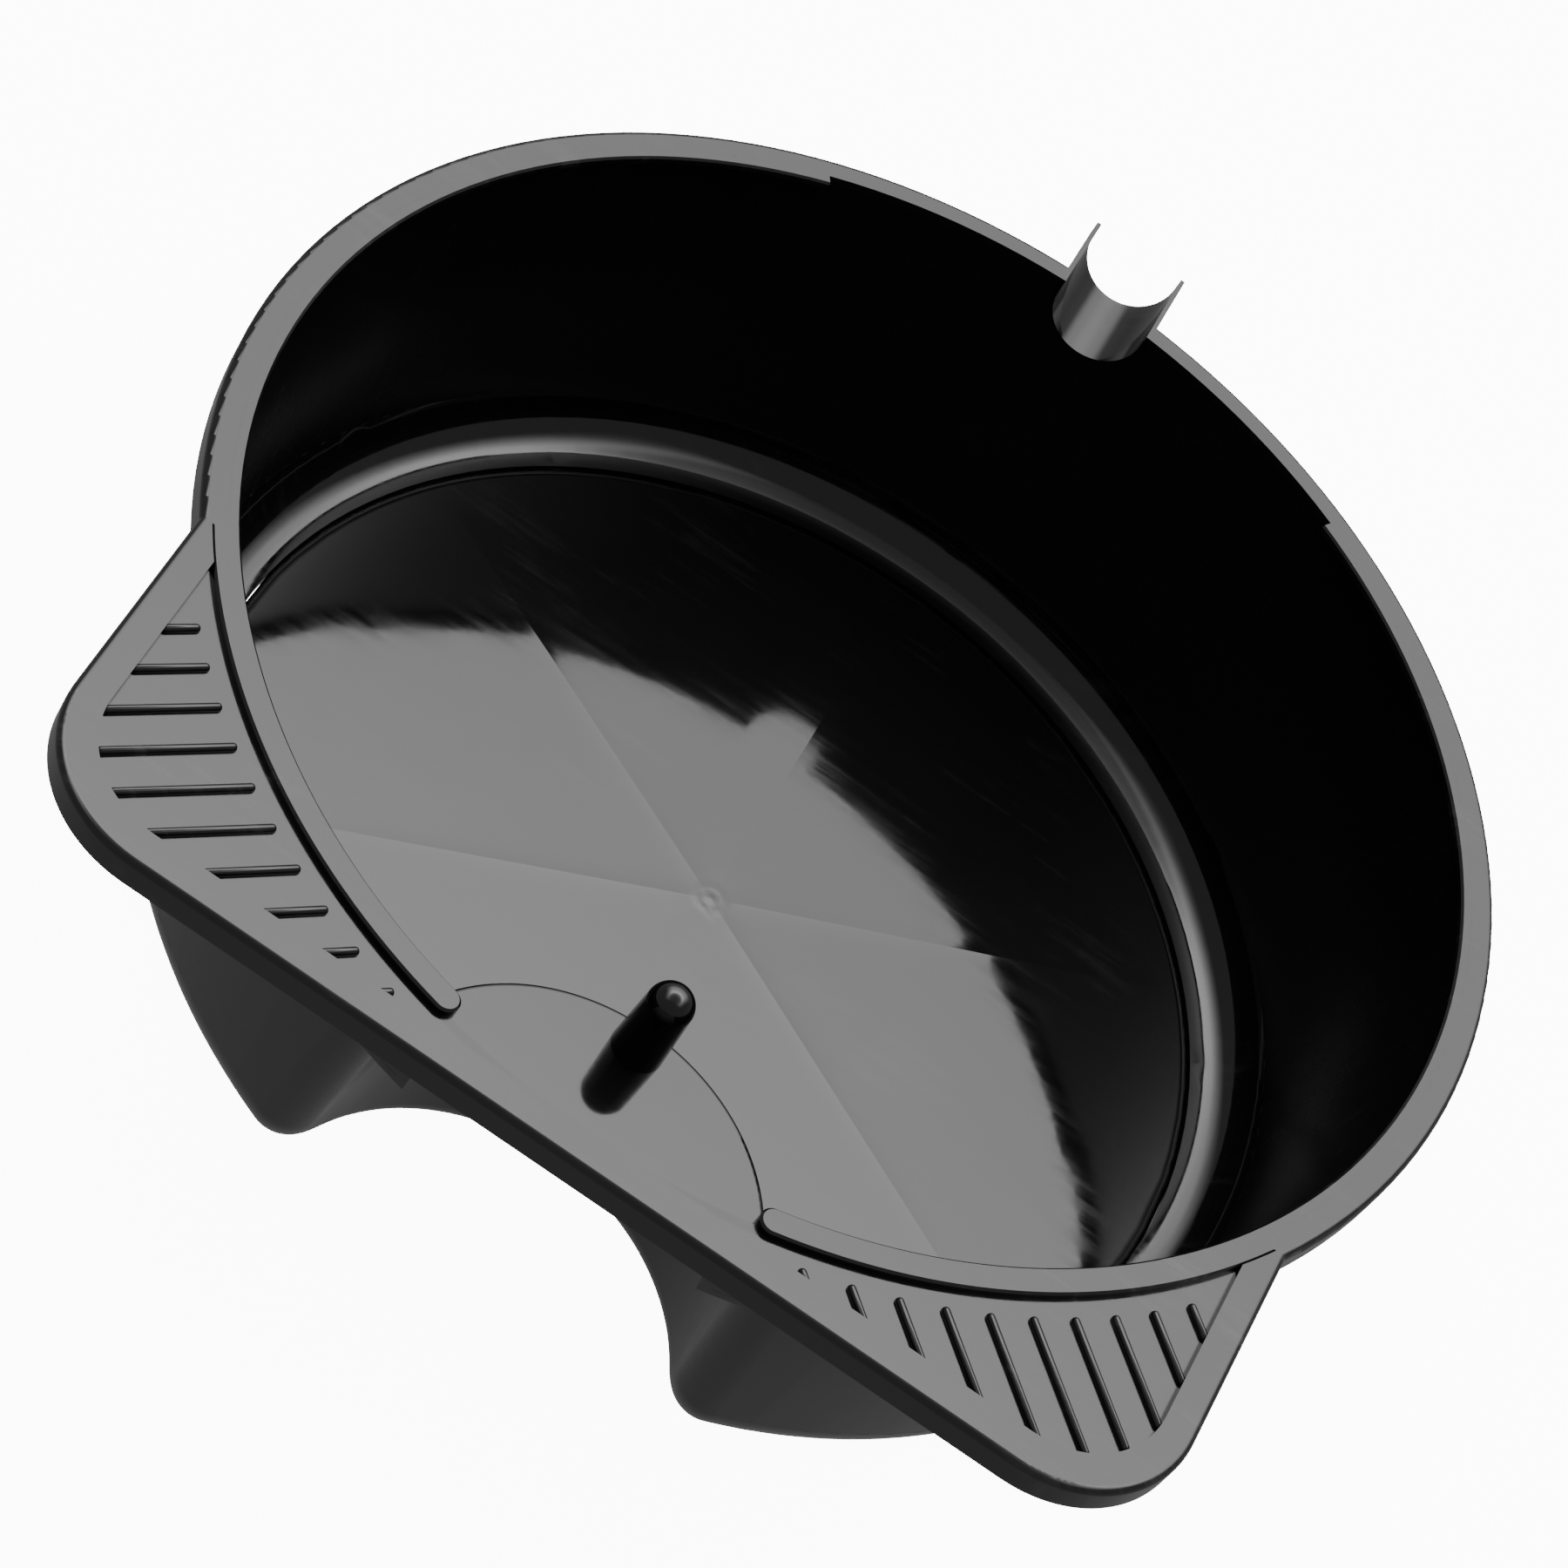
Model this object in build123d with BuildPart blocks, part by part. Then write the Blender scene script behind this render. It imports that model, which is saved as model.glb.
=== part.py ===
"""Oil drain pan: a round tub with grip wings, a filter shelf with its drain peg and a pour spout.

Units are millimetres. The origin is on the tub's axis, on the plane that the pan rests on.
+Z is up, +Y points to the pour spout and -Y to the carrying bar.
"""

from build123d import *
from math import asin, cos, degrees, radians, sin, sqrt, tan
import os

os.makedirs("parts", exist_ok=True)

# ---- Driving dimensions of the tub ----
pan_height = 110.0  # rest plane to the top face of the rim
tub_radius = 173.0  # inside of the wall, at the top face of the rim
wall = 2.2  # moulded wall thickness
draft = 5.5  # degrees, how far every wall leans for stacking and for the mould
heel_radius = 18.0  # outside bend between floor and wall
floor_crown = 1.6  # rise of the faceted floor at its middle
crown_margin = 10.3  # flat ring between the corners of the six floor facets and the heel
gate_radius = 3.0  # flat spot at the floor's middle, where the plastic entered the mould

# ---- Driving dimensions of the rim and its lip ----
rim_width = 7.0  # inside of the wall to the outer edge of the round rim
rim_edge = 1.8  # rounding of the rim's outer edge
skirt_drop = 8.0  # how far the turned-down skirt hangs below the rim's top face
skirt_wall = 2.0
lip_reach = 3.0  # anti-splash lip, how far it stands in from the wall
lip_edge = 0.6  # bevel of the lip's and the bands' top edges
spout_gap_angle = 58.4  # degrees of rim without a lip, centred on the spout

# ---- Driving dimensions of the wings, bar and bands ----
bar_width = 10.1  # also the width of a wing's frame at the front
wing_angle = 29.3  # degrees between a wing's start on the round rim and the pan's middle line
wing_lean = 2.0  # degrees, how far a wing's outer edge leans inward to the front
wing_corner = 36.0  # corner radius of a wing
frame_width = 9.0  # flat frame around a wing's grip panel
band_width = 7.2  # raised band between a grip panel and the bowl
bar_margin = 39.0  # end of the straight bar to the wing's outer edge
rib_count = 10
rib_pitch = 11.2
rib_width = 2.2
rib_height = 1.6
rib_angle = 45.0  # degrees between the ribs and the bar
rib_gap = 5.0  # clear strip between the band and the ends of the ribs
rib_shift = 10.0  # middle of the row of ribs, measured across them from the wing's corner

# ---- Driving dimensions of the filter shelf, hand hold and peg ----
shelf_depth = 36.0  # shelf's top face below the rim
shelf_radius = 53.0  # round edge of the shelf, inside the tub
shelf_setback = 9.6  # inside of the wall to the centre of the shelf's round edge
hold_bend = 10.0  # outside bend around the hand hold's foot and up its two corners
foot_width = 25.0  # shelf's edge to where the tub's plain wall and heel take over
shelf_edge = 1.5  # rounding of the shelf's edge
notch_half_width = 41.2  # tub axis to the end of a band
notch_depth = 3.3  # how far the front wall's top stands out between the bands
front_lean = 25.0  # degrees, how far the wall in front of the shelf leans in to clear the fingers
bar_bridge = 14.0  # half width of the bar's middle, where the panel strip has run out
peg_inset = 7.5  # shelf's edge to the peg's axis
peg_base_radius = 7.0
peg_tip_radius = 6.2
peg_height = 25.5
peg_wall = 2.0

# ---- Driving dimensions of the pour spout ----
spout_radius = 13.8  # inside of the half pipe
spout_side = 3.7  # straight sides above the half pipe
spout_wall = 1.3
spout_overhang = 23.0  # outer edge of the rim to the tips of the spout's sides
spout_setback = 3.0  # how much shorter the half pipe's bottom is than the tips

# ---- Worked-out sizes ----
lean = tan(radians(draft))
skin = wall / cos(radians(draft))  # horizontal thickness of a leaning wall
front_slope = tan(radians(front_lean))
front_skin = wall / cos(radians(front_lean))
plate_z = pan_height - wall  # underside of the rim's top plate
skirt_z = pan_height - skirt_drop
panel_top_z = plate_z  # a grip panel lies one wall below the rim's top face
panel_z = panel_top_z - wall
shelf_z = pan_height - shelf_depth
ceiling_z = shelf_z - wall  # roof of the hand hold
rim_radius = tub_radius + rim_width
lip_radius = tub_radius - lip_reach
band_radius = lip_radius + band_width
band_middle = lip_radius + band_width / 2
bar_inner = tub_radius + notch_depth  # tub axis to the bar's inner edge
bar_front = bar_inner + bar_width
wing_half_width = rim_radius * cos(radians(wing_angle))  # where a wing leaves the round rim
wing_back = rim_radius * sin(radians(wing_angle))
bar_half = wing_half_width - bar_margin
shelf_centre = tub_radius - shelf_setback
foot_reach = shelf_radius + foot_width
peg_offset = shelf_centre - shelf_radius + peg_inset
spout_reach = rim_radius + spout_overhang
bend_run = heel_radius * tan(radians(45 - draft / 2))  # floor taken up by the heel's bend
bend_rise = bend_run * cos(radians(draft))  # height taken up by the heel's bend
over = 5.0  # how far a cutting solid runs past what it cuts
far = 3 * rim_radius  # size of a cutting solid that takes in the whole pan
front_out = (Align.CENTER, Align.MAX, Align.CENTER)  # cutting box that lies to the front
above = (Align.CENTER, Align.CENTER, Align.MIN)
below = (Align.CENTER, Align.CENTER, Align.MAX)


def inner_radius(z):
    """Inside radius of the tub's wall at height z."""
    return tub_radius - (pan_height - z) * lean


def outer_radius(z):
    """Outside radius of the tub's wall at height z."""
    return inner_radius(z) + skin


def front_radius(z):
    """Inside radius of the leaning wall in front of the shelf at height z."""
    return bar_inner - (pan_height - z) * front_slope


def hold_radius(z):
    """Radius of the hand hold's wall at height z, on the tub's side."""
    return shelf_radius + (shelf_z - z) * lean


floor_radius = outer_radius(0) - bend_run  # where the flat floor turns up into the heel
crown_reach = floor_radius - crown_margin
hold_run = hold_bend * tan(radians(45 - draft / 2))  # floor taken up by the hand hold's bend
hold_foot = hold_radius(0) - skin + hold_run  # where the flat floor turns up to the hand hold
arch_plane = Plane(origin=(0, -shelf_centre, 0), x_dir=(1, 0, 0), z_dir=(0, -1, 0))
arch_axis = Axis((0, -shelf_centre, 0), (0, 0, 1))


def upright_corners(solid, top):
    """Edges that climb where the hand hold's wall meets the tub's wall, up to the height top."""
    open_edges = [edge for edge in solid.edges() if not edge.is_closed]
    climbing = [edge for edge in open_edges if edge.bounding_box().size.Z > wall]
    sideways = [edge for edge in climbing if abs(edge.center().X) > shelf_radius / 2]
    low = [edge for edge in sideways if edge.bounding_box().max.Z < top + wall / 2]
    return ShapeList([edge for edge in low if edge.center().Y < -shelf_centre / 2])


def shelf_edges(solid):
    """Round edge of the filter shelf, inside the tub."""
    level = solid.edges().filter_by_position(Axis.Z, shelf_z - wall / 4, shelf_z + wall / 4)
    round_edges = level.filter_by(GeomType.CIRCLE)
    return ShapeList([edge for edge in round_edges if abs(edge.radius - shelf_radius) < wall])


# ---- Construction: the tub's outside, with the hand hold cut in ----
with BuildPart() as outside:
    with BuildSketch(Plane.XZ):
        with BuildLine():
            base_line = Line((0, 0), (outer_radius(0), 0))
            side_line = Line(base_line @ 1, (outer_radius(plate_z), plate_z))
            top_line = Line(side_line @ 1, (0, plate_z))
            Line(top_line @ 1, base_line @ 0)
        make_face()
        fillet(vertices().group_by(Axis.Y)[0].sort_by(Axis.X)[-1], heel_radius)
    revolve(axis=Axis.Z)
    with BuildSketch(arch_plane):
        with BuildLine():
            Polyline(
                (0, -over),
                (hold_radius(-over) - skin, -over),
                (hold_radius(ceiling_z) - skin, ceiling_z),
                (0, ceiling_z),
                close=True,
            )
        make_face()
    revolve(axis=arch_axis, mode=Mode.SUBTRACT)
    fillet(upright_corners(outside, ceiling_z), hold_bend)

# ---- Construction: the tub's hollow, with the hand hold's wall left standing ----
with BuildPart() as inside:
    with BuildSketch(Plane.XZ):
        with BuildLine():
            base_line = Line((0, wall), (inner_radius(wall), wall))
            side_line = Line(base_line @ 1, (inner_radius(pan_height + over), pan_height + over))
            top_line = Line(side_line @ 1, (0, pan_height + over))
            Line(top_line @ 1, base_line @ 0)
        make_face()
        fillet(vertices().group_by(Axis.Y)[0].sort_by(Axis.X)[-1], heel_radius - wall)
    revolve(axis=Axis.Z)
    with BuildSketch(arch_plane):
        with BuildLine():
            Polyline(
                (0, -over),
                (hold_radius(-over), -over),
                (hold_radius(shelf_z), shelf_z),
                (0, shelf_z),
                close=True,
            )
        make_face()
    revolve(axis=arch_axis, mode=Mode.SUBTRACT)
    fillet(upright_corners(inside, shelf_z), hold_bend - wall)
    fillet(shelf_edges(inside), shelf_edge)

# ---- Construction: the leaning front wall's outer and inner cones, cut to the shelf's front ----
with BuildPart() as front_outer:
    with BuildSketch(Plane.XZ):
        with BuildLine():
            Polyline(
                (0, ceiling_z),
                (front_radius(ceiling_z) + front_skin, ceiling_z),
                (front_radius(plate_z) + front_skin, plate_z),
                (0, plate_z),
                close=True,
            )
        make_face()
    revolve(axis=Axis.Z)
    with BuildSketch(Plane.XY.offset(ceiling_z)):
        with Locations((0, -rim_radius)):
            Rectangle(2 * (notch_half_width + wall), rim_radius)
    extrude(amount=shelf_depth, mode=Mode.INTERSECT)

with BuildPart() as front_inner:
    with BuildSketch(Plane.XZ):
        with BuildLine():
            Polyline(
                (0, shelf_z),
                (front_radius(shelf_z), shelf_z),
                (front_radius(pan_height + over), pan_height + over),
                (0, pan_height + over),
                close=True,
            )
        make_face()
    revolve(axis=Axis.Z)

# ---- Construction: the moulded shell of the tub, floor to rim ----
with BuildPart() as shell:
    add(outside.part)
    add(inside.part, mode=Mode.SUBTRACT)

# ---- Construction: the spout's channel as a full bar, for the gap it leaves in wall and rim ----
spout_back = tub_radius - spout_radius  # where the channel's solid starts, inside the bowl
channel_plane = Plane(origin=(0, spout_reach, 0), x_dir=(1, 0, 0), z_dir=(0, -1, 0))
spout_turn_z = pan_height - spout_side  # where the straight sides turn into the half pipe
spout_half = spout_radius + spout_wall
spout_drop = spout_side + spout_radius  # inside depth of the channel

with BuildPart() as channel:
    with BuildSketch(channel_plane):
        with Locations((0, spout_turn_z)):
            Circle(spout_half)
            Rectangle(2 * spout_half, spout_side + over, align=(Align.CENTER, Align.MIN))
    extrude(amount=spout_reach - spout_back)

with BuildPart() as channel_hollow:
    with BuildSketch(channel_plane.offset(-over)):
        with Locations((0, spout_turn_z)):
            Circle(spout_radius)
            Rectangle(2 * spout_radius, spout_side + 2 * over, align=(Align.CENTER, Align.MIN))
    extrude(amount=spout_reach - spout_back + 2 * over)

# ---- Construction: plan of the rim with its wings, at any inset ----
wing_start = wing_back - over  # the wing's plan starts a little inside the round rim


def wing_side(y_back, inset):
    """Tub axis to a wing's outer edge, y_back in front of the axis."""
    return wing_half_width - inset - (y_back - wing_back) * tan(radians(wing_lean))


def wing_plan(inset, front, corner):
    """Plan of both wings as one, inset from their outer edges and cut at the front."""
    with BuildSketch() as plan:
        with BuildLine():
            Polyline(
                (-wing_side(wing_start, inset), -wing_start),
                (wing_side(wing_start, inset), -wing_start),
                (wing_side(front, inset), -front),
                (-wing_side(front, inset), -front),
                close=True,
            )
        make_face()
        fillet(vertices().group_by(Axis.Y)[0], corner)
    return plan.sketch


outer_plan = wing_plan(0, bar_front, wing_corner)
skirt_plan = wing_plan(skirt_wall, bar_front - skirt_wall, wing_corner - skirt_wall)
panel_plan = wing_plan(frame_width, bar_inner, wing_corner - frame_width)
fold_plan = wing_plan(frame_width - wall, bar_inner + wall, wing_corner - frame_width + wall)

# ---- Construction: the rim's top plate and skirt, all the way round ----
with BuildPart() as rim_plate:
    with BuildSketch(Plane.XY.offset(plate_z)):
        Circle(rim_radius)
        add(outer_plan)
    extrude(amount=wall)
    fillet(faces().sort_by(Axis.Z)[-1].edges(), rim_edge)

with BuildPart() as rim_turn:
    with BuildSketch(Plane.XY.offset(skirt_z)):
        Circle(rim_radius)
        add(outer_plan)
        Circle(rim_radius - skirt_wall, mode=Mode.SUBTRACT)
        add(skirt_plan, mode=Mode.SUBTRACT)
    extrude(amount=skirt_drop - wall)

# ---- Construction: the floor's six facets, as a low pyramid with a small flat top ----
facet_angles = [-30, 30, 90, 150, 210]


def facet_points(scale):
    """Corners of the six floor facets, drawn in towards the middle by the scale."""
    around = [
        (crown_reach * scale * cos(radians(angle)), crown_reach * scale * sin(radians(angle)))
        for angle in facet_angles
    ]
    return around + [(0, -(shelf_centre - hold_foot) * scale)]


def facet_pyramid(base_z):
    """Low pyramid over the floor's facets, standing at base_z."""
    with BuildPart() as pyramid:
        with BuildSketch(Plane.XY.offset(base_z)):
            with BuildLine():
                Polyline(*facet_points(1), close=True)
            make_face()
        with BuildSketch(Plane.XY.offset(base_z + floor_crown)):
            with BuildLine():
                Polyline(*facet_points(gate_radius / crown_reach), close=True)
            make_face()
        loft(ruled=True)
    return pyramid.part


pyramid_under = facet_pyramid(0)
pyramid_top = facet_pyramid(wall)

# ---- Pan floor: six nearly flat facets that drain to the heel ----
with BuildPart() as pan_floor:
    with BuildSketch():
        Circle(floor_radius)
        with Locations((0, -shelf_centre)):
            Circle(hold_foot, mode=Mode.SUBTRACT)
    extrude(amount=wall)
    add(pyramid_top)
    add(pyramid_under, mode=Mode.SUBTRACT)
pan_floor.part.label = "pan_floor"
export_step(pan_floor.part, "parts/pan_floor.step")

# ---- Heel: the bend between floor and wall, all round except at the hand hold ----
with BuildPart() as pan_heel:
    add(shell.part)
    with Locations((0, 0, bend_rise)):
        Box(far, far, far, align=below, mode=Mode.INTERSECT)
    Cylinder(floor_radius, far, mode=Mode.SUBTRACT)
    with Locations((0, -shelf_centre, 0)):
        Cylinder(foot_reach, far, mode=Mode.SUBTRACT)
pan_heel.part.label = "pan_heel"
export_step(pan_heel.part, "parts/pan_heel.step")

# ---- Tub wall: leaning wall from the heel to the rim, with the gap for the spout ----
with BuildPart() as tub_wall:
    add(shell.part)
    with Locations((0, 0, bend_rise)):
        Box(far, far, far, align=above, mode=Mode.INTERSECT)
    with Locations((0, -shelf_centre, shelf_z)):
        Cylinder(foot_reach, far, align=below, mode=Mode.SUBTRACT)
    with Locations((0, 0, ceiling_z)):
        Box(
            2 * (notch_half_width + wall),
            far,
            far,
            align=(Align.CENTER, Align.MAX, Align.MIN),
            mode=Mode.SUBTRACT,
        )
    add(channel.part, mode=Mode.SUBTRACT)
tub_wall.part.label = "tub_wall"
export_step(tub_wall.part, "parts/tub_wall.step")

# ---- Filter shelf: flat plate over the hand hold, with the hole under the peg ----
shelf_reach = shelf_radius + wall  # the plate takes in the corner where it meets the walls
with BuildPart() as shelf_trim:
    with Locations((0, -bar_inner, ceiling_z - over)):
        Box(2 * notch_half_width, rim_radius / 2, wall + 2 * over, align=above)
    add(front_outer.part, mode=Mode.SUBTRACT)
with BuildPart() as filter_shelf:
    add(shell.part)
    with Locations((0, -shelf_centre, ceiling_z)):
        Cylinder(shelf_reach, wall, align=above, mode=Mode.INTERSECT)
    with Locations((0, -peg_offset, shelf_z)):
        Cylinder(peg_base_radius - peg_wall, far, mode=Mode.SUBTRACT)
    add(shelf_trim.part, mode=Mode.SUBTRACT)
filter_shelf.part.label = "filter_shelf"
export_step(filter_shelf.part, "parts/filter_shelf.step")

# ---- Hand hold wall: half-round wall under the shelf, with the two feet beside it ----
with BuildPart() as hand_hold_wall:
    add(shell.part)
    with Locations((0, -shelf_centre, shelf_z)):
        Cylinder(foot_reach, far, align=below, mode=Mode.INTERSECT)
    with Locations((0, -shelf_centre, ceiling_z)):
        Cylinder(shelf_reach, far, align=above, mode=Mode.SUBTRACT)
    add(outside.part, mode=Mode.INTERSECT)
    with BuildSketch():
        Circle(floor_radius)
        with Locations((0, -shelf_centre)):
            Circle(hold_foot, mode=Mode.SUBTRACT)
    extrude(amount=wall, mode=Mode.SUBTRACT)
hand_hold_wall.part.label = "hand_hold_wall"
export_step(hand_hold_wall.part, "parts/hand_hold_wall.step")

# ---- Shelf front wall: the wall between the bands, leaning in under the bar ----
front_zone = (2 * (notch_half_width + wall), far, plate_z - shelf_z)
front_above = (Align.CENTER, Align.MAX, Align.MIN)
with BuildPart() as cheek_hollow:
    add(inside.part)
    add(front_inner.part, mode=Mode.INTERSECT)

with BuildPart() as front_core:
    add(front_inner.part)
    Box(2 * notch_half_width, far, far, mode=Mode.INTERSECT)

with BuildPart() as shelf_front_wall:
    add(outside.part)
    with Locations((0, 0, shelf_z)):
        Box(2 * notch_half_width, far, far, align=front_above, mode=Mode.SUBTRACT)
    add(front_outer.part)
    with Locations((0, 0, shelf_z)):
        Box(*front_zone, align=front_above, mode=Mode.INTERSECT)
    add(cheek_hollow.part, mode=Mode.SUBTRACT)
    add(front_core.part, mode=Mode.SUBTRACT)
shelf_front_wall.part.label = "shelf_front_wall"
export_step(shelf_front_wall.part, "parts/shelf_front_wall.step")

# ---- Filter peg: hollow round-tipped peg that holds a draining filter's threaded end ----
peg_shank = peg_height - peg_tip_radius  # straight part below the round tip
with BuildPart() as filter_peg:
    with BuildSketch(Plane(origin=(0, -peg_offset, shelf_z), x_dir=(1, 0, 0), z_dir=(0, -1, 0))):
        with BuildLine():
            foot = Line((peg_base_radius - peg_wall, 0), (peg_base_radius, 0))
            side = Line(foot @ 1, (peg_tip_radius, peg_shank))
            tip = RadiusArc(side @ 1, (0, peg_height), -peg_tip_radius)
            middle = Line(tip @ 1, (0, peg_height - peg_wall))
            bore_tip = RadiusArc(
                middle @ 1, (peg_tip_radius - peg_wall, peg_shank), peg_tip_radius - peg_wall
            )
            Line(bore_tip @ 1, foot @ 0)
        make_face()
    revolve(axis=Axis((0, -peg_offset, 0), (0, 0, 1)))
filter_peg.part.label = "filter_peg"
export_step(filter_peg.part, "parts/filter_peg.step")

# ---- Right rim: flat rim with a rounded outer edge, from the right wing round to the spout ----
with BuildPart() as right_rim:
    add(rim_plate.part)
    with Locations((0, -wing_back, 0)):
        Box(far, far, far, align=(Align.MIN, Align.MIN, Align.CENTER), mode=Mode.INTERSECT)
    Cylinder(tub_radius, far, mode=Mode.SUBTRACT)
    add(channel.part, mode=Mode.SUBTRACT)
right_rim.part.label = "right_rim"
export_step(right_rim.part, "parts/right_rim.step")

# ---- Left rim ----
with BuildPart() as left_rim:
    add(mirror(right_rim.part, about=Plane.YZ, mode=Mode.PRIVATE))
left_rim.part.label = "left_rim"
export_step(left_rim.part, "parts/left_rim.step")

# ---- Right rim skirt: turned-down edge under the right rim ----
with BuildPart() as right_rim_skirt:
    add(rim_turn.part)
    with Locations((0, -wing_back, 0)):
        Box(far, far, far, align=(Align.MIN, Align.MIN, Align.CENTER), mode=Mode.INTERSECT)
    add(channel.part, mode=Mode.SUBTRACT)
right_rim_skirt.part.label = "right_rim_skirt"
export_step(right_rim_skirt.part, "parts/right_rim_skirt.step")

# ---- Left rim skirt ----
with BuildPart() as left_rim_skirt:
    add(mirror(right_rim_skirt.part, about=Plane.YZ, mode=Mode.PRIVATE))
left_rim_skirt.part.label = "left_rim_skirt"
export_step(left_rim_skirt.part, "parts/left_rim_skirt.step")

# ---- Right splash lip: thin inward edge of the rim, left out beside the spout ----
lip_end = 90 - spout_gap_angle / 2
with BuildPart() as right_splash_lip:
    with BuildSketch(Plane.XY.offset(plate_z)):
        Circle(tub_radius)
        Circle(lip_radius, mode=Mode.SUBTRACT)
        with Locations((0, -wing_back)):
            Rectangle(far, far, align=(Align.MIN, Align.MIN), mode=Mode.INTERSECT)
        with BuildLine():
            Polyline(
                (0, 0),
                (far * cos(radians(lip_end)), far * sin(radians(lip_end))),
                (-far, far),
                close=True,
            )
        make_face(mode=Mode.SUBTRACT)
    extrude(amount=wall)
    lip_round = faces().sort_by(Axis.Z)[-1].edges().filter_by(GeomType.CIRCLE)
    chamfer(lip_round.sort_by(SortBy.RADIUS)[0], lip_edge)
right_splash_lip.part.label = "right_splash_lip"
export_step(right_splash_lip.part, "parts/right_splash_lip.step")

# ---- Left splash lip ----
with BuildPart() as left_splash_lip:
    with BuildSketch(Plane.XY.offset(plate_z)):
        Circle(tub_radius)
        Circle(lip_radius, mode=Mode.SUBTRACT)
        with Locations((0, -wing_back)):
            Rectangle(far, far, align=(Align.MAX, Align.MIN), mode=Mode.INTERSECT)
        with BuildLine():
            Polyline(
                (0, 0),
                (-far * cos(radians(lip_end)), far * sin(radians(lip_end))),
                (far, far),
                close=True,
            )
        make_face(mode=Mode.SUBTRACT)
    extrude(amount=wall)
    lip_round = faces().sort_by(Axis.Z)[-1].edges().filter_by(GeomType.CIRCLE)
    chamfer(lip_round.sort_by(SortBy.RADIUS)[0], lip_edge)
left_splash_lip.part.label = "left_splash_lip"
export_step(left_splash_lip.part, "parts/left_splash_lip.step")

# ---- Right band: raised curved bead between the right grip panel and the bowl ----
band_end = degrees(asin((notch_half_width + band_width / 2) / band_middle)) - 90
right_arc = CenterArc((0, 0), band_middle, band_end, -band_end)
with BuildPart() as right_band:
    with BuildSketch(Plane.XY.offset(plate_z)):
        SlotArc(right_arc, band_width)
        with Locations((0, -wing_back)):
            Rectangle(far, far, align=(Align.CENTER, Align.MAX), mode=Mode.INTERSECT)
    extrude(amount=wall)
    band_round = faces().sort_by(Axis.Z)[-1].edges().filter_by(GeomType.CIRCLE)
    chamfer(band_round, lip_edge)
right_band.part.label = "right_band"
export_step(right_band.part, "parts/right_band.step")

# ---- Left band ----
left_arc = CenterArc((0, 0), band_middle, 180, -band_end)
with BuildPart() as left_band:
    with BuildSketch(Plane.XY.offset(plate_z)):
        SlotArc(left_arc, band_width)
        with Locations((0, -wing_back)):
            Rectangle(far, far, align=(Align.CENTER, Align.MAX), mode=Mode.INTERSECT)
    extrude(amount=wall)
    band_round = faces().sort_by(Axis.Z)[-1].edges().filter_by(GeomType.CIRCLE)
    chamfer(band_round, lip_edge)
left_band.part.label = "left_band"
export_step(left_band.part, "parts/left_band.step")

# ---- Right wing panel: recessed plate that the fingers and thumb close on ----
with BuildPart() as right_wing_panel:
    with BuildSketch(Plane.XY.offset(panel_z)):
        add(fold_plan)
        with Locations((bar_bridge, -wing_back)):
            Rectangle(far, far, align=(Align.MIN, Align.MAX), mode=Mode.INTERSECT)
    extrude(amount=wall)
    add(outside.part, mode=Mode.SUBTRACT)
    add(front_outer.part, mode=Mode.SUBTRACT)
right_wing_panel.part.label = "right_wing_panel"
export_step(right_wing_panel.part, "parts/right_wing_panel.step")

# ---- Left wing panel ----
with BuildPart() as left_wing_panel:
    add(mirror(right_wing_panel.part, about=Plane.YZ, mode=Mode.PRIVATE))
left_wing_panel.part.label = "left_wing_panel"
export_step(left_wing_panel.part, "parts/left_wing_panel.step")

# ---- Right grip ribs: slanting raised ribs on the panel, round-ended beside the band ----
rib_start_radius = band_radius + rib_gap
rib_run = rim_radius / 2  # longer than any rib, the panel's border trims them
rib_along = (cos(radians(rib_angle)), -sin(radians(rib_angle)))
rib_across = (sin(radians(rib_angle)), cos(radians(rib_angle)))
corner_row = wing_side(bar_front, 0) * rib_across[0] - bar_front * rib_across[1]
first_row = corner_row - rib_shift - rib_pitch * (rib_count - 1) / 2
rib_rows = [first_row + rib_pitch * i for i in range(rib_count)]
with BuildPart() as right_grip_ribs:
    with BuildSketch(Plane.XY.offset(panel_top_z)):
        for row in rib_rows:
            run = sqrt(rib_start_radius**2 - row**2) + (rib_run + rib_width) / 2
            rib_x = row * rib_across[0] + run * rib_along[0]
            rib_y = row * rib_across[1] + run * rib_along[1]
            with Locations(Location((rib_x, rib_y, 0), (0, 0, -rib_angle))):
                SlotCenterToCenter(rib_run, rib_width)
        add(panel_plan, mode=Mode.INTERSECT)
    extrude(amount=rib_height)
right_grip_ribs.part.label = "right_grip_ribs"
export_step(right_grip_ribs.part, "parts/right_grip_ribs.step")

# ---- Left grip ribs ----
with BuildPart() as left_grip_ribs:
    add(mirror(right_grip_ribs.part, about=Plane.YZ, mode=Mode.PRIVATE))
left_grip_ribs.part.label = "left_grip_ribs"
export_step(left_grip_ribs.part, "parts/left_grip_ribs.step")

# ---- Right wing frame: flat border of the wing, from the round rim to the bar ----
with BuildPart() as right_wing_frame:
    add(rim_plate.part)
    with Locations((bar_bridge, -wing_back, 0)):
        Box(
            far, far, far, align=(Align.MIN, Align.MAX, Align.CENTER), mode=Mode.INTERSECT
        )
    with Locations((bar_half, -bar_inner, 0)):
        Box(far, far, far, align=(Align.MAX, Align.MAX, Align.CENTER), mode=Mode.SUBTRACT)
    Cylinder(band_radius, far, mode=Mode.SUBTRACT)
    with BuildSketch():
        add(panel_plan)
    extrude(amount=far, mode=Mode.SUBTRACT)
right_wing_frame.part.label = "right_wing_frame"
export_step(right_wing_frame.part, "parts/right_wing_frame.step")

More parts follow.
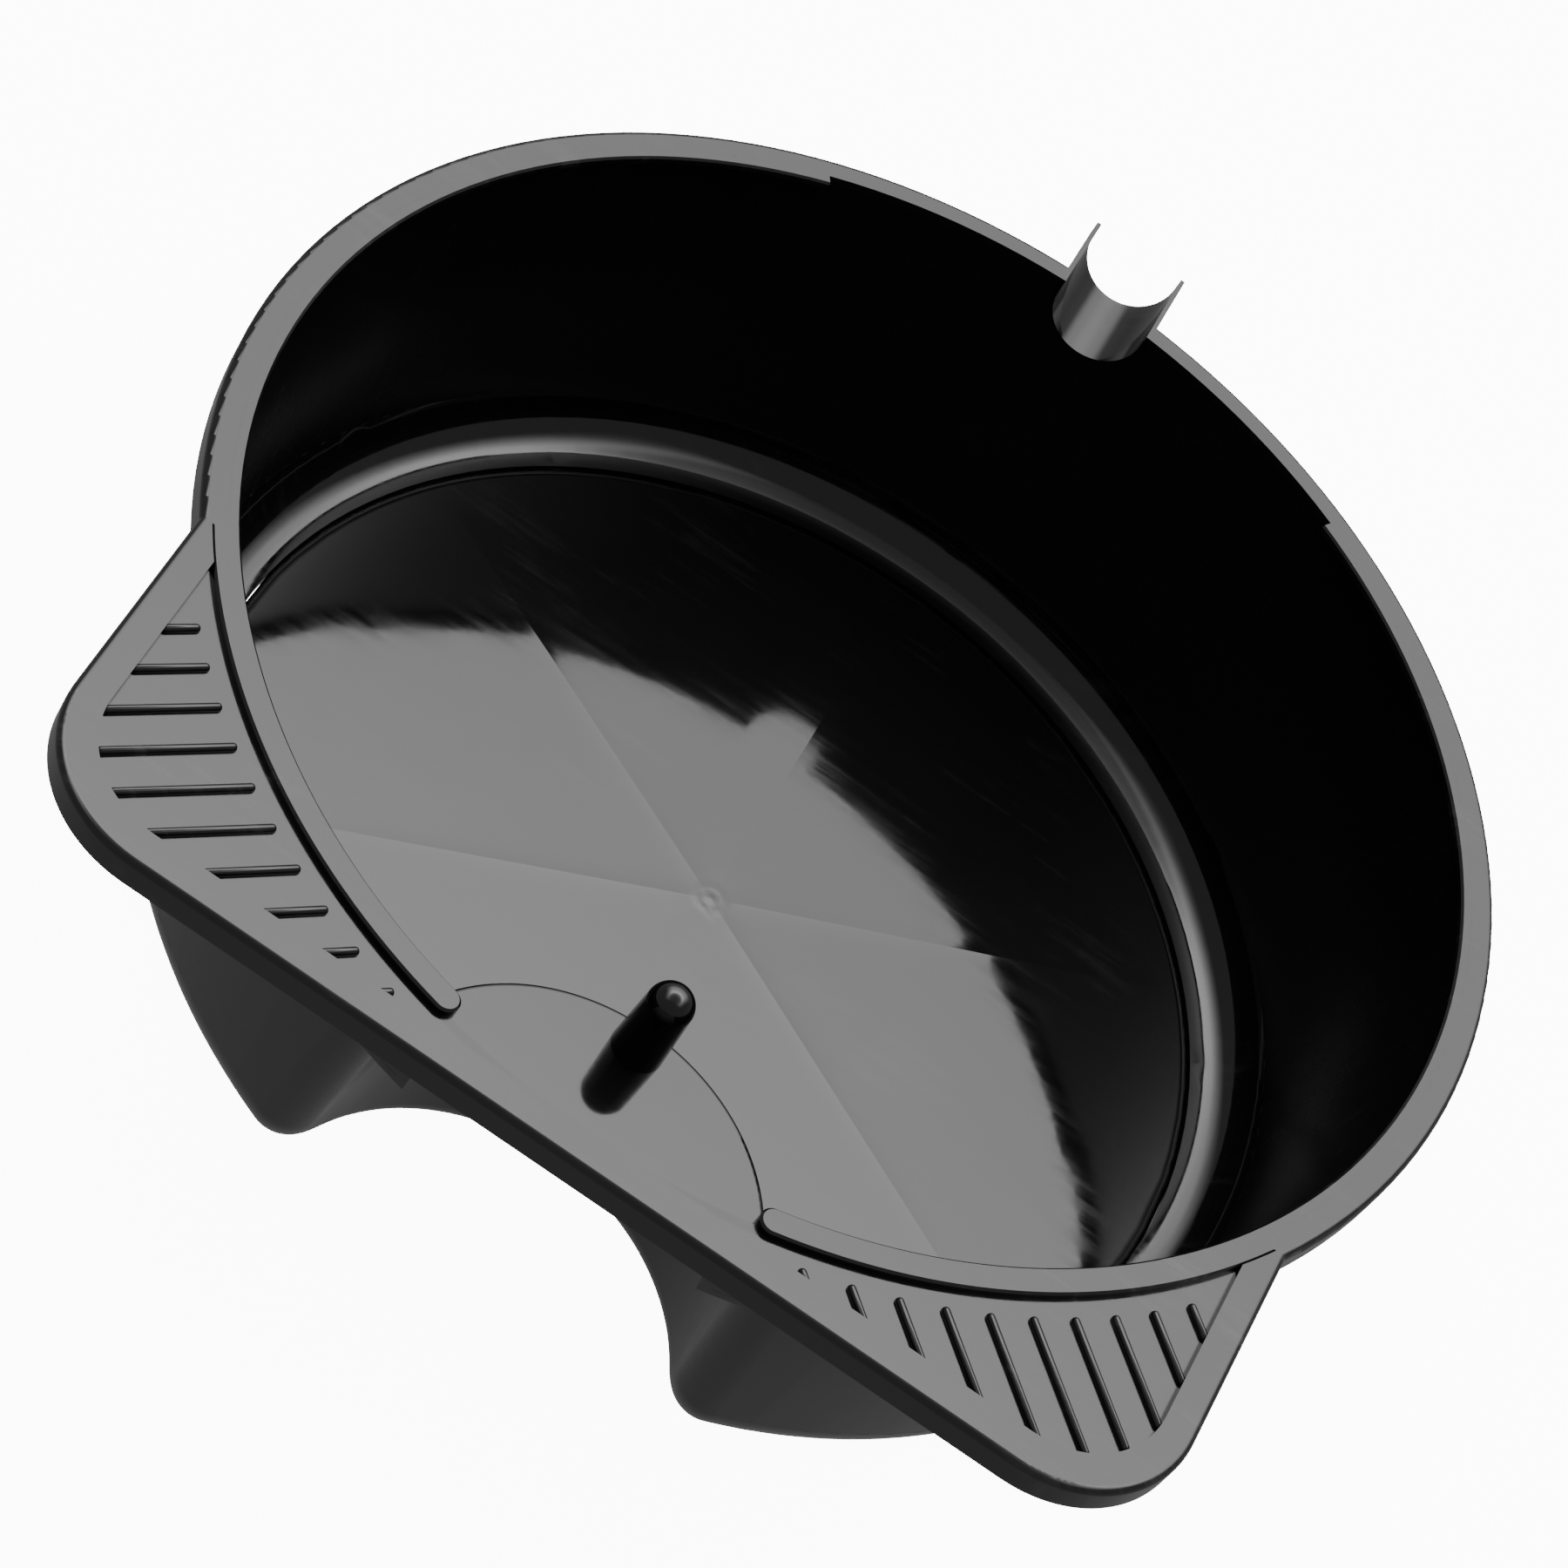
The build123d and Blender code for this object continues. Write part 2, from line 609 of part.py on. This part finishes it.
# ---- Left wing frame ----
with BuildPart() as left_wing_frame:
    add(mirror(right_wing_frame.part, about=Plane.YZ, mode=Mode.PRIVATE))
left_wing_frame.part.label = "left_wing_frame"
export_step(left_wing_frame.part, "parts/left_wing_frame.step")

# ---- Front bar: straight carrying bar between the wings' corners ----
with BuildPart() as front_bar:
    with BuildSketch(Plane.XY.offset(plate_z)):
        with Locations((0, -bar_inner)):
            Rectangle(2 * bar_half, bar_width + over, align=(Align.CENTER, Align.MAX))
        with Locations((0, -tub_radius)):
            Rectangle(2 * bar_bridge, bar_width, align=(Align.CENTER, Align.MAX))
        Circle(bar_inner, mode=Mode.SUBTRACT)
    extrude(amount=wall)
    add(rim_plate.part, mode=Mode.INTERSECT)
front_bar.part.label = "front_bar"
export_step(front_bar.part, "parts/front_bar.step")

# ---- Bar skirt: turned-down front edge of the bar ----
with BuildPart() as bar_skirt:
    add(rim_turn.part)
    with Locations((0, -bar_inner, 0)):
        Box(2 * bar_half, far, far, align=front_out, mode=Mode.INTERSECT)
bar_skirt.part.label = "bar_skirt"
export_step(bar_skirt.part, "parts/bar_skirt.step")

# ---- Right wing skirt: turned-down edge round the wing's corner ----
with BuildPart() as right_wing_skirt:
    add(rim_turn.part)
    with Locations((bar_half, -wing_back, 0)):
        Box(far, far, far, align=(Align.MIN, Align.MAX, Align.CENTER), mode=Mode.INTERSECT)
right_wing_skirt.part.label = "right_wing_skirt"
export_step(right_wing_skirt.part, "parts/right_wing_skirt.step")

# ---- Left wing skirt ----
with BuildPart() as left_wing_skirt:
    add(mirror(right_wing_skirt.part, about=Plane.YZ, mode=Mode.PRIVATE))
left_wing_skirt.part.label = "left_wing_skirt"
export_step(left_wing_skirt.part, "parts/left_wing_skirt.step")

# ---- Construction: the spout, cut to its slanting end ----
with BuildPart() as spout_shell:
    add(channel.part)
    add(channel_hollow.part, mode=Mode.SUBTRACT)
    add(inside.part, mode=Mode.SUBTRACT)
    with Locations((0, 0, pan_height)):
        Box(far, far, far, align=below, mode=Mode.INTERSECT)
    with BuildSketch(Plane.YZ):
        with BuildLine():
            Polyline(
                (spout_reach, pan_height),
                (spout_reach - spout_setback, pan_height - spout_drop),
                (spout_reach - 2 * spout_setback, pan_height - 2 * spout_drop),
                (spout_reach + over, pan_height - 2 * spout_drop),
                (spout_reach + over, pan_height),
                close=True,
            )
        make_face()
    extrude(amount=far / 2, both=True, mode=Mode.SUBTRACT)

# ---- Pour spout: half pipe that carries the oil out over the rim ----
with BuildPart() as pour_spout:
    add(spout_shell.part)
    with Locations((0, 0, spout_turn_z)):
        Box(far, far, far, align=below, mode=Mode.INTERSECT)
pour_spout.part.label = "pour_spout"
export_step(pour_spout.part, "parts/pour_spout.step")

# ---- Right spout side: upright fin above the half pipe ----
with BuildPart() as right_spout_side:
    add(spout_shell.part)
    with Locations((0, 0, spout_turn_z)):
        Box(far, far, far, align=(Align.MIN, Align.CENTER, Align.MIN), mode=Mode.INTERSECT)
right_spout_side.part.label = "right_spout_side"
export_step(right_spout_side.part, "parts/right_spout_side.step")

# ---- Left spout side ----
with BuildPart() as left_spout_side:
    add(mirror(right_spout_side.part, about=Plane.YZ, mode=Mode.PRIVATE))
left_spout_side.part.label = "left_spout_side"
export_step(left_spout_side.part, "parts/left_spout_side.step")
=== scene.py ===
import math

import bmesh
import bpy
from mathutils import Matrix, Vector


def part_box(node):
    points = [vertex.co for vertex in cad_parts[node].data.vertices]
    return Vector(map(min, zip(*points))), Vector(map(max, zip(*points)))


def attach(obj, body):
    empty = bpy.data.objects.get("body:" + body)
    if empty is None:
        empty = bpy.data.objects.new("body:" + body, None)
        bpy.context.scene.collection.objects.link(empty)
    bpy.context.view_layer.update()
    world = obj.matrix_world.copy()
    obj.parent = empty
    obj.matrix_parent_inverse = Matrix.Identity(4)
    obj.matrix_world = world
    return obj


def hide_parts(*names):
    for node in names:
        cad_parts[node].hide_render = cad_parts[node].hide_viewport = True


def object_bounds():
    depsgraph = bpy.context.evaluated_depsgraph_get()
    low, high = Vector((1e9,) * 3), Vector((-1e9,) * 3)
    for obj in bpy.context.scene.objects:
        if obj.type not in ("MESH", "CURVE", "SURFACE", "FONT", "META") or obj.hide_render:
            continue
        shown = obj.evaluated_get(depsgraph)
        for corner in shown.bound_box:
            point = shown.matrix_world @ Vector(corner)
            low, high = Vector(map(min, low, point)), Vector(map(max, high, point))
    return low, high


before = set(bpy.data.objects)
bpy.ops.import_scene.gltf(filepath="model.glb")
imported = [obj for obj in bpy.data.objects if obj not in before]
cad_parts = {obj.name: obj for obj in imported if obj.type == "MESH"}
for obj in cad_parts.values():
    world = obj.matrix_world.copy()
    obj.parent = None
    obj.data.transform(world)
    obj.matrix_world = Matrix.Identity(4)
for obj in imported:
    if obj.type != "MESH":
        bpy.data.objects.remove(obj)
cad_low, cad_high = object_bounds()

# Camera: a long lens from in front of the carrying bar and well above it. The pan lies turned
# clockwise in the frame, with the bar at the lower left and the spout at the upper right.
azimuth, elevation, roll = math.radians(-3.50), math.radians(45.59), math.radians(36.93)
distance = 1.0993
side_offset, top_offset = 0.0248, 0.0284
back = Vector(
    (
        math.sin(azimuth) * math.cos(elevation),
        -math.cos(azimuth) * math.cos(elevation),
        math.sin(elevation),
    )
)
level = (-back).cross(Vector((0.0, 0.0, 1.0))).normalized()
upright = level.cross(-back)
side = level * math.cos(roll) + upright * math.sin(roll)
top = upright * math.cos(roll) - level * math.sin(roll)
camera_data = bpy.data.cameras.new("camera")
camera_data.lens, camera_data.sensor_width = 100.0, 36.0
camera = bpy.data.objects.new("camera", camera_data)
camera.matrix_world = Matrix.Translation(
    Vector((0.0, 0.0, cad_high.z)) + back * distance - side * side_offset - top * top_offset
) @ Matrix((side, top, back)).transposed().to_4x4()
bpy.context.scene.collection.objects.link(camera)
bpy.context.scene.camera = camera


# Studio: a wide floor of matt white paper that glows of itself and is hidden from mirror rays,
# and a surround that is dim low down and in front, with one very large soft light behind the
# pan, brighter towards its top. The glossy plastic mirrors that surround and not the paper.
def linear(code):
    """Linear red, green and blue of an sRGB hex colour."""
    parts = [int(code[i : i + 2], 16) / 255 for i in (1, 3, 5)]
    return tuple(p / 12.92 if p <= 0.04045 else ((p + 0.055) / 1.055) ** 2.4 for p in parts)


def add_node(tree, kind, settings=None, links=None):
    """Adds one shader node, sets its properties and sockets, and links its sockets."""
    node = tree.nodes.new(kind)
    for name, value in (settings or {}).items():
        if isinstance(name, str) and hasattr(node, name):
            setattr(node, name, value)
        else:
            node.inputs[name].default_value = value
    for name, output in (links or {}).items():
        tree.links.new(output, node.inputs[name])
    return node


surround = bpy.data.worlds.new("studio surround")
bpy.context.scene.world = surround
surround.use_nodes = True
tree = surround.node_tree
direction = add_node(tree, "ShaderNodeTexCoord")
axes = add_node(tree, "ShaderNodeSeparateXYZ", links={"Vector": direction.outputs["Generated"]})
height = add_node(
    tree,
    "ShaderNodeMapRange",
    {"From Min": 0.0, "From Max": 1.0, "To Min": 0.0, "To Max": 1.0},
    {"Value": axes.outputs["Z"]},
)
climb = add_node(tree, "ShaderNodeValToRGB", links={"Fac": height.outputs["Result"]})
climb.color_ramp.interpolation = "EASE"
climb.color_ramp.elements[0].position = 0.0
climb.color_ramp.elements[0].color = (*[0.25] * 3, 1.0)
climb.color_ramp.elements[1].position = 1.0
climb.color_ramp.elements[1].color = (*[0.9] * 3, 1.0)
for place, glow in ((0.35, 0.6), (0.56, 2.9), (0.68, 4.3), (0.86, 7.6), (0.94, 2.0)):
    stop = climb.color_ramp.elements.new(place)
    stop.color = (*[glow] * 3, 1.0)
rear = add_node(
    tree,
    "ShaderNodeMapRange",
    {"From Min": -0.35, "From Max": 0.45, "To Min": 0.0, "To Max": 1.0},
    {"Value": axes.outputs["Y"]},
)
beside = add_node(tree, "ShaderNodeMath", {"operation": "ABSOLUTE"}, {0: axes.outputs["X"]})
middle = add_node(
    tree,
    "ShaderNodeMapRange",
    {"From Min": 0.42, "From Max": 0.72, "To Min": 1.0, "To Max": 0.0},
    {"Value": beside.outputs["Value"]},
)
lit = add_node(
    tree,
    "ShaderNodeMath",
    {"operation": "MULTIPLY"},
    {0: rear.outputs["Result"], 1: middle.outputs["Result"]},
)
shade = add_node(
    tree,
    "ShaderNodeMix",
    {"data_type": "RGBA", 6: (0.38, 0.38, 0.38, 1.0)},
    {0: lit.outputs["Value"], 7: climb.outputs["Color"]},
)
tree.links.new(shade.outputs[2], tree.nodes["Background"].inputs["Color"])
tree.nodes["Background"].inputs["Strength"].default_value = 1.0

sheet_mesh = bpy.data.meshes.new("studio_floor")
sheet_mesh.from_pydata([(-4, -4, 0), (4, -4, 0), (4, 4, 0), (-4, 4, 0)], [], [(0, 1, 2, 3)])
sheet = bpy.data.objects.new("studio_floor", sheet_mesh)
bpy.context.scene.collection.objects.link(sheet)
paper = bpy.data.materials.new("matt white paper")
paper.use_nodes = True
paper.node_tree.nodes["Principled BSDF"].inputs["Base Color"].default_value = (
    *linear("#f4f4f4"),
    1.0,
)
paper.node_tree.nodes["Principled BSDF"].inputs["Roughness"].default_value = 0.9
paper.node_tree.nodes["Principled BSDF"].inputs["Emission Color"].default_value = (1, 1, 1, 1)
paper.node_tree.nodes["Principled BSDF"].inputs["Emission Strength"].default_value = 11.0
sheet_mesh.materials.append(paper)
sheet.visible_glossy = sheet.visible_diffuse = False

# Floor of the bowl: one sheet of plastic in six nearly flat facets that drain to the heel.
# Polypropylene moulded against polished steel; each crease stands up as a hair-thin soft line,
# and the spot where the plastic entered the mould is left at the middle.
MM = 0.001
wall = 2.2 * MM  # thickness of the sheet
crown = 1.6 * MM  # rise of the facets at the middle
floor_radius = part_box("pan_floor")[1].x
crown_reach = floor_radius - 10.3 * MM  # corners of the facets, inside the level outer ring
gate_radius = 3.0 * MM  # flat spot at the middle
hold_middle = 163.4 * MM  # pan's middle to the centre of the hand hold's round wall
hold_foot = 67.0 * MM  # radius at which the floor turns up to the hand hold
creases = [math.radians(a) for a in (-30, 30, 90, 150, 210, 270)]
corners = [Vector((math.cos(a), math.sin(a))) * crown_reach for a in creases[:5]]
corners.append(Vector((0.0, hold_foot - hold_middle)))


def floor_edge(angle):
    """Distance from the floor's middle to its edge, at the heel or at the hand hold."""
    x, y = math.cos(angle), math.sin(angle)
    inside = (y * hold_middle) ** 2 - hold_middle**2 + hold_foot**2
    if y < 0 and inside > 0:
        return min(floor_radius, -y * hold_middle - math.sqrt(inside))
    return floor_radius


def facet_height(angle, radius):
    """Rise of the faceted floor above its level outer ring."""
    ray = Vector((math.cos(angle), math.sin(angle)))
    for i in range(6):
        a, b = corners[i], corners[(i + 1) % 6]
        across = a.x * b.y - a.y * b.x
        u = (ray.x * b.y - ray.y * b.x) / across
        v = (a.x * ray.y - a.y * ray.x) / across
        if u >= -1e-9 and v >= -1e-9:
            share = radius * (u + v)
            gate = gate_radius / crown_reach
            return crown * min(1.0, max(0.0, (1.0 - share) / (1.0 - gate)))
    return 0.0


def crease_height(angle, radius):
    """Rise of the thin soft line along each crease, fading towards the heel."""
    rise = 0.0
    for i in range(5):
        turn = (angle - creases[i] + math.pi) % (2 * math.pi) - math.pi
        if abs(turn) < 0.5:
            fade = max(0.0, 1.0 - (radius / crown_reach) ** 2) * min(1.0, radius / 0.012)
            rise += 0.09 * MM * fade * math.exp(-abs(radius * math.sin(turn)) / (3.0 * MM))
    return rise


def gate_height(radius):
    """Small raised pip with a ring round it, left by the trimmed sprue."""
    return 0.25 * MM * math.exp(-((radius / (1.6 * MM)) ** 2)) + 0.12 * MM * math.exp(
        -(((radius - 4.0 * MM) / (0.9 * MM)) ** 2)
    )


# Columns of points crowd towards the creases, where the surface bends, in degrees from each.
turns = [0.0, 0.06, 0.14, 0.25, 0.4, 0.6, 0.85, 1.2, 1.7, 2.4, 3.4, 4.8, 6.8, 9.5, 13, 17, 22, 26]
angles = sorted(
    {
        round(math.degrees(c) + s * t, 4)
        for c in creases
        for t in turns
        for s in (-1, 1)
    }
)
angles = [math.radians(a) for a in angles if -90.0001 < a < 269.9999]
rows = 64
top_points, under_points = [], []
for row in range(rows):
    along = ((row + 1) / rows) ** 1.5
    for angle in angles:
        radius = floor_edge(angle) * along
        x, y = radius * math.cos(angle), radius * math.sin(angle)
        rise = facet_height(angle, radius)
        detail = crease_height(angle, radius) + gate_height(radius)
        top_points.append((x, y, wall + rise + detail))
        under_points.append((x, y, rise))
count = len(angles)
points = top_points + under_points + [(0, 0, wall + crown + 0.25 * MM), (0, 0, crown)]
shift = len(top_points)
faces = []
for row in range(rows - 1):
    for i in range(count):
        j = (i + 1) % count
        a, b, c, d = row * count + i, row * count + j, (row + 1) * count + j, (row + 1) * count + i
        faces.append((a, d, c, b))
        faces.append((a + shift, b + shift, c + shift, d + shift))
for i in range(count):
    j = (i + 1) % count
    faces.append((2 * shift, i, j))
    faces.append((2 * shift + 1, shift + j, shift + i))
    edge = (rows - 1) * count
    faces.append((edge + i, edge + i + shift, edge + j + shift, edge + j))
floor_mesh = bpy.data.meshes.new("bowl_floor")
floor_mesh.from_pydata(points, [], faces)
floor_mesh.validate()
for face in floor_mesh.polygons:
    face.use_smooth = abs(face.normal.z) > 0.5
bowl_floor = bpy.data.objects.new("bowl_floor", floor_mesh)
bpy.context.scene.collection.objects.link(bowl_floor)
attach(bowl_floor, "root")
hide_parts("pan_floor")


def black_polypropylene(name, colour, gloss, grain_mm, grain_depth, smear, scuff):
    """Moulded black polypropylene. Gloss and smear are roughness, grain is in millimetres."""
    material = bpy.data.materials.new(name)
    material.use_nodes = True
    tree = material.node_tree
    shader = tree.nodes["Principled BSDF"]
    shader.inputs["IOR"].default_value = 1.49
    place = add_node(tree, "ShaderNodeTexCoord")
    cloud = add_node(
        tree,
        "ShaderNodeTexNoise",
        {"Scale": 1 / (45.0 * MM), "Detail": 5.0, "Roughness": 0.6},
        {"Vector": place.outputs["Object"]},
    )
    wiped = add_node(
        tree,
        "ShaderNodeMapping",
        {"Scale": (1 / (60.0 * MM), 1 / (4.0 * MM), 1 / (20.0 * MM)), "Rotation": (0, 0, 0.6)},
        {"Vector": place.outputs["Object"]},
    )
    streak = add_node(
        tree,
        "ShaderNodeTexNoise",
        {"Scale": 1.0, "Detail": 4.0, "Roughness": 0.7},
        {"Vector": wiped.outputs["Vector"]},
    )
    smears = add_node(
        tree,
        "ShaderNodeMath",
        {"operation": "MULTIPLY"},
        {0: cloud.outputs["Fac"], 1: streak.outputs["Fac"]},
    )
    dulled = add_node(
        tree,
        "ShaderNodeMapRange",
        {"From Min": 0.18, "From Max": 0.42, "To Min": gloss, "To Max": gloss + smear},
        {"Value": smears.outputs["Value"]},
    )
    tree.links.new(dulled.outputs["Result"], shader.inputs["Roughness"])
    worn = add_node(
        tree,
        "ShaderNodeMapRange",
        {"From Min": 0.30, "From Max": 0.50, "To Min": 0.0, "To Max": scuff},
        {"Value": smears.outputs["Value"]},
    )
    tint = add_node(
        tree,
        "ShaderNodeMix",
        {"data_type": "RGBA", 6: (*linear(colour), 1.0), 7: (*linear("#6a6b6e"), 1.0)},
        {0: worn.outputs["Result"]},
    )
    tree.links.new(tint.outputs[2], shader.inputs["Base Color"])
    grain = add_node(
        tree,
        "ShaderNodeTexNoise",
        {"Scale": 1 / (grain_mm * MM), "Detail": 3.0, "Roughness": 0.55},
        {"Vector": place.outputs["Object"]},
    )
    bump = add_node(
        tree,
        "ShaderNodeBump",
        {"Strength": 1.0, "Distance": grain_depth * MM},
        {"Height": grain.outputs["Fac"]},
    )
    tree.links.new(bump.outputs["Normal"], shader.inputs["Normal"])
    return material


# Polished steel gives a near-mirror skin. What it mirrors bends a little over long, shallow
# waves, 22 mm apart, where the sheet has shrunk, and thin smears dull it in places.
polished = black_polypropylene(
    "mould-polished black polypropylene",
    colour="#0c0c0d",
    gloss=0.05,
    grain_mm=22.0,
    grain_depth=0.03,
    smear=0.08,
    scuff=0.08,
)
floor_mesh.materials.append(polished)

# Heel, filter shelf and peg: moulded in one with the floor, against the same polished steel.
# The heel bends up from floor to wall; the shelf stands over the hand hold and carries the peg.
for name in ("pan_heel", "filter_shelf", "filter_peg"):
    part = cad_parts[name]
    part.data.materials.clear()
    part.data.materials.append(polished)

# Walls: the tub's leaning wall, the wall round the hand hold and the one in front of the shelf.
# Moulded against fine-blasted steel, whose 0.6 mm grain spreads what the wall mirrors.
blasted = black_polypropylene(
    "fine-textured black polypropylene",
    colour="#0b0b0c",
    gloss=0.22,
    grain_mm=0.6,
    grain_depth=0.004,
    smear=0.08,
    scuff=0.01,
)
for name in ("tub_wall", "hand_hold_wall", "shelf_front_wall"):
    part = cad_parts[name]
    part.data.materials.clear()
    part.data.materials.append(blasted)

# Rim, splash lips, wings, bar and skirts: the edges that hands carry the pan by, moulded with
# the tub in one shot. Handling leaves them a little duller, with pale scuffs here and there.
handled = black_polypropylene(
    "handled black polypropylene",
    colour="#0f0f10",
    gloss=0.12,
    grain_mm=1.1,
    grain_depth=0.004,
    smear=0.12,
    scuff=0.2,
)
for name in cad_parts:
    if name.startswith(("left_", "right_", "bar_", "front_")) and "spout" not in name:
        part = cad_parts[name]
        part.data.materials.clear()
        part.data.materials.append(handled)

# Grip ribs: ten slanting half-round beads on each grip panel, moulded in one with it. They are
# 2.2 mm wide and 1.6 mm high, round-ended beside the band and running out under the frame.
rib_width, rib_height, rib_sections = 2.2 * MM, 1.6 * MM, 9


def add_bead(points, faces, start, along, across, length, base):
    """Adds one closed half-round bead with rounded ends to a mesh's points and faces."""
    radius = rib_width / 2
    ends = [radius * share for share in (0.02, 0.12, 0.3, 0.6, 1.0)]
    first = len(points)
    places = ends + [length - place for place in reversed(ends)]
    for place in places:
        left = max(0.0, 1.0 - min(place, length - place) / radius)
        swell = math.sqrt(1.0 - left**2)
        for i in range(rib_sections):
            angle = math.pi * i / (rib_sections - 1)
            spot = start + along * place + across * (radius * swell * math.cos(angle))
            points.append((spot.x, spot.y, base + rib_height * swell * math.sin(angle) ** 0.8))
    last = rib_sections - 1
    for row in range(len(places) - 1):
        a = first + row * rib_sections
        for i in range(last):
            faces.append((a + i, a + i + 1, a + i + 1 + rib_sections, a + i + rib_sections))
        faces.append((a + last, a, a + rib_sections, a + rib_sections + last))
    faces.append(tuple(range(first + last, first - 1, -1)))
    faces.append(tuple(range(len(points) - rib_sections, len(points))))


for hand, name in ((1, "right_grip_ribs"), (-1, "left_grip_ribs")):
    along = Vector((hand, -1.0)).normalized()
    across = Vector((hand, 1.0)).normalized()
    rows = {}
    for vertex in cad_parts[name].data.vertices:
        spot = Vector((vertex.co.x, vertex.co.y))
        for row in rows:
            if abs(row - spot.dot(across)) < 2 * rib_width:
                rows[row].append(spot)
                break
        else:
            rows[spot.dot(across)] = [spot]
    points, faces = [], []
    for spots in rows.values():
        reach = [spot.dot(along) for spot in spots]
        width = [spot.dot(across) for spot in spots]
        start = along * min(reach) + across * ((min(width) + max(width)) / 2)
        add_bead(points, faces, start, along, across, max(reach) - min(reach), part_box(name)[0].z)
    bead_mesh = bpy.data.meshes.new(name.replace("ribs", "beads"))
    bead_mesh.from_pydata(points, [], faces)
    rounds = bmesh.new()
    rounds.from_mesh(bead_mesh)
    bmesh.ops.recalc_face_normals(rounds, faces=rounds.faces)
    for face in rounds.faces:
        face.smooth = face.normal.z > -0.5
    rounds.to_mesh(bead_mesh)
    rounds.free()
    bead_mesh.materials.append(handled)
    beads = bpy.data.objects.new(name.replace("ribs", "beads"), bead_mesh)
    bpy.context.scene.collection.objects.link(beads)
    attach(beads, "root")
    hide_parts(name)

# Spout: a thin half pipe with two upright sides, moulded in one with the wall.
# Its inside is polished so that the last oil runs off it.
for name in ("pour_spout", "right_spout_side", "left_spout_side"):
    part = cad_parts[name]
    part.data.materials.clear()
    part.data.materials.append(polished)
